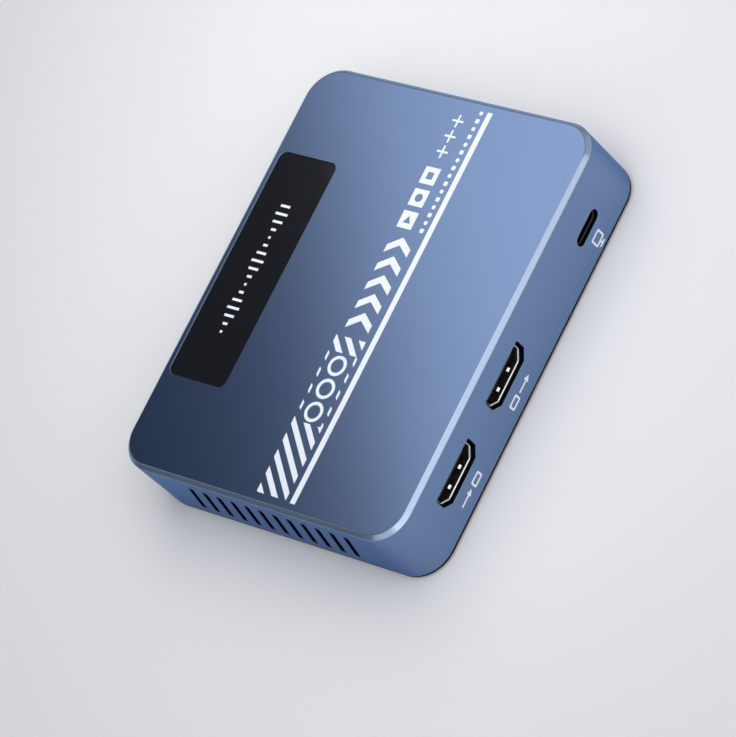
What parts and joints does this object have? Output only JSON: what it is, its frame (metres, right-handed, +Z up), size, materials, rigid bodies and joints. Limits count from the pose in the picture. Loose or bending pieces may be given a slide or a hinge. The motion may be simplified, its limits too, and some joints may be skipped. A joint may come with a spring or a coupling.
{
  "type": "video capture box",
  "caption": "Flat desktop video capture box: bevelled blue metal case with video sockets and a host socket in front, slanted vents in the ends and a dark window on top.",
  "frame": {"origin": "on the table, under the middle of the case", "axes": "+X along the port face, to the right as seen from in front of it; the port face looks along -Y; +Z up"},
  "size_m": [0.105, 0.084, 0.0208],
  "materials": {
    "blue_anodised": "fine bead-blasted blue anodising, satin",
    "black_base": "fine moulded texture",
    "foot_rubber": "matt",
    "screw_steel": "dark nickel",
    "dark_window": "smoked, polished",
    "clear_guide": "frosted clear",
    "board_black": "black solder mask",
    "lamp_white": "moulded",
    "cream_plastic": "moulded",
    "flex_film": "film",
    "socket_steel": "bright nickel",
    "socket_dark_steel": "black nickel",
    "socket_black": "moulded",
    "contact_gold": "gold plated",
    "chip_black": "moulded",
    "heat_pad_grey": "soft",
    "sink_black": "black anodised",
    "crystal_steel": "plated",
    "choke_grey": "pressed ferrite",
    "can_aluminium": "satin",
    "capacitor_tan": "fired ceramic",
    "resistor_black": "glazed"
  },
  "bodies": {
    "root": {"top_shell": "blue_anodised", "base_plate": "black_base", "rubber_feet": "foot_rubber", "base_screws": "screw_steel", "light_window": "dark_window", "light_guide": "clear_guide", "light_board": "board_black", "lamps": "lamp_white", "light_board_screws": "screw_steel", "light_flex_socket": "cream_plastic", "board_flex_socket": "cream_plastic", "light_flex_cable": "flex_film", "main_board": "board_black", "board_screws": "screw_steel", "video_in_shell": "socket_steel", "video_in_insulator": "socket_black", "video_in_contacts": "contact_gold", "video_out_shell": "socket_steel", "video_out_insulator": "socket_black", "video_out_contacts": "contact_gold", "host_port_shell": "socket_dark_steel", "host_port_insulator": "socket_black", "host_port_contacts": "contact_gold", "capture_processor": "chip_black", "heat_pad": "heat_pad_grey", "heat_sink": "sink_black", "video_receiver_chip": "chip_black", "video_driver_chip": "chip_black", "host_controller_chip": "chip_black", "memory_chips": "chip_black", "flash_chip": "chip_black", "clock_crystals": "crystal_steel", "power_chokes": "choke_grey", "bulk_capacitors": "can_aluminium", "ceramic_capacitors": "capacitor_tan", "chip_resistors": "resistor_black"}
  },
  "joints": []
}
